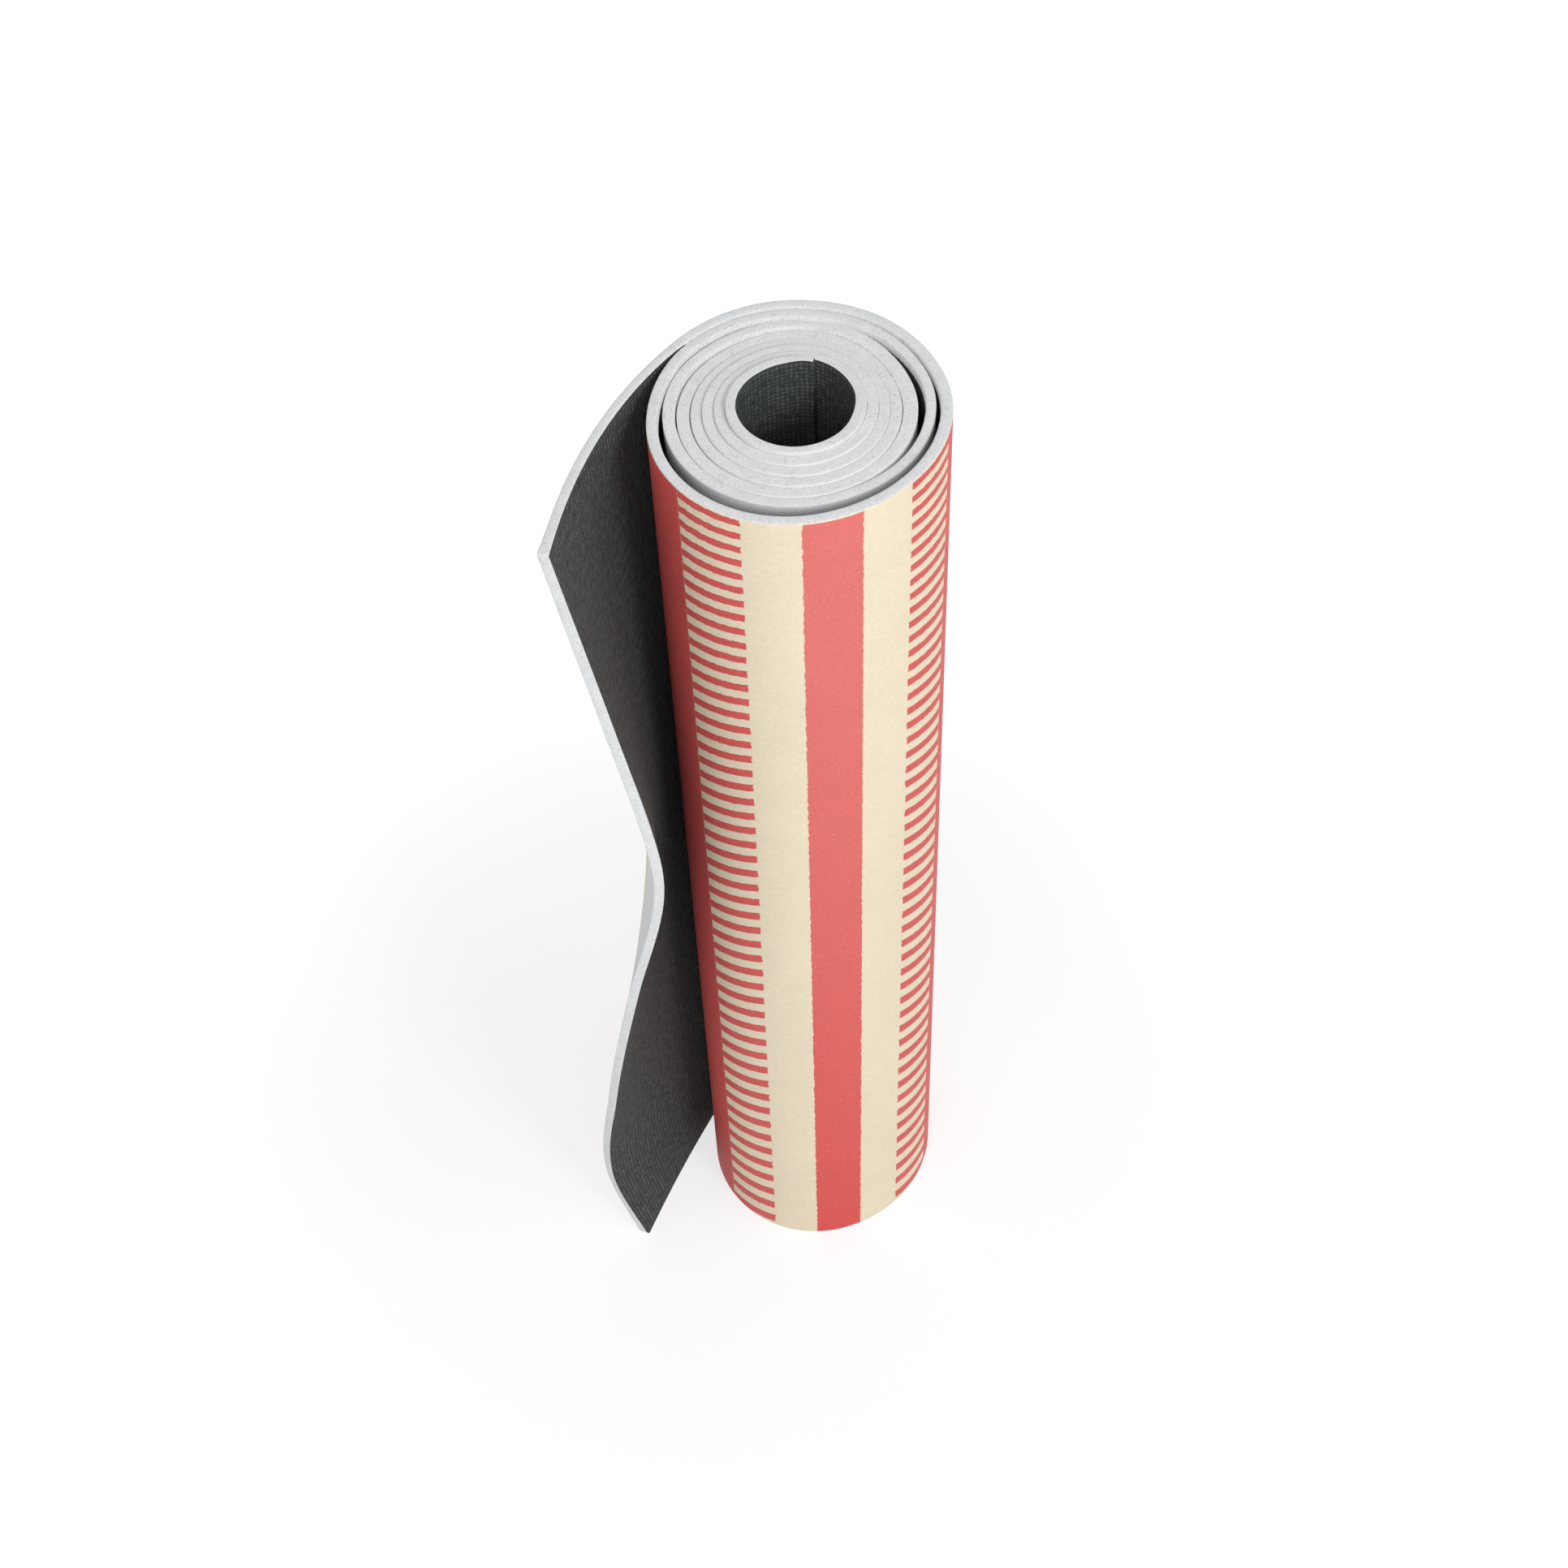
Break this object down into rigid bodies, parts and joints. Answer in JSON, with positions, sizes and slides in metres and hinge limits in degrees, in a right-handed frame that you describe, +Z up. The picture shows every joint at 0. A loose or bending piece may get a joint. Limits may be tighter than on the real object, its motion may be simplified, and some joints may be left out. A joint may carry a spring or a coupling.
{
  "type": "yoga mat",
  "caption": "Rolled foam exercise mat stood on end, with a striped printed face, a dark grip underside and a loose outer end that stands free of the roll.",
  "frame": {"origin": "middle of the footprint at floor height, with the roll stood on end", "axes": "+Z up along the roll's axis; +Y away from the viewer, so that -Y is the side that faces the camera; +X to the viewer's right; the loose end stands free at -X"},
  "size_m": [0.1928, 0.1552, 0.61],
  "materials": {
    "grip_base": "matte charcoal foam with a fine woven grip texture",
    "foam_core": "matte pale grey closed-cell foam, cut edge finely speckled",
    "printed_face": "matte print of coral red and cream stripes on a finely textured face"
  },
  "bodies": {
    "roll": {"wound_foam_core": "foam_core", "wound_grip_base": "grip_base", "wound_printed_face": "printed_face"},
    "loose_end": {"loose_foam_core": "foam_core", "loose_grip_base": "grip_base", "loose_printed_face": "printed_face"},
    "free_edge": {"edge_foam_core": "foam_core", "edge_grip_base": "grip_base", "edge_printed_face": "printed_face"}
  },
  "joints": [
    {"name": "peel", "type": "hinge", "parent": "roll", "child": "loose_end", "pos_m": [-0.0216, 0.05476, 0.305], "axis": [0, 0, -1], "range_deg": [0, 80], "stiffness_Nm_per_rad": 0.12},
    {"name": "bend", "type": "hinge", "parent": "loose_end", "child": "free_edge", "pos_m": [-0.04437, -0.00374, 0.305], "axis": [0, 0, 1], "range_deg": [0, 25], "stiffness_Nm_per_rad": 0.1}
  ]
}
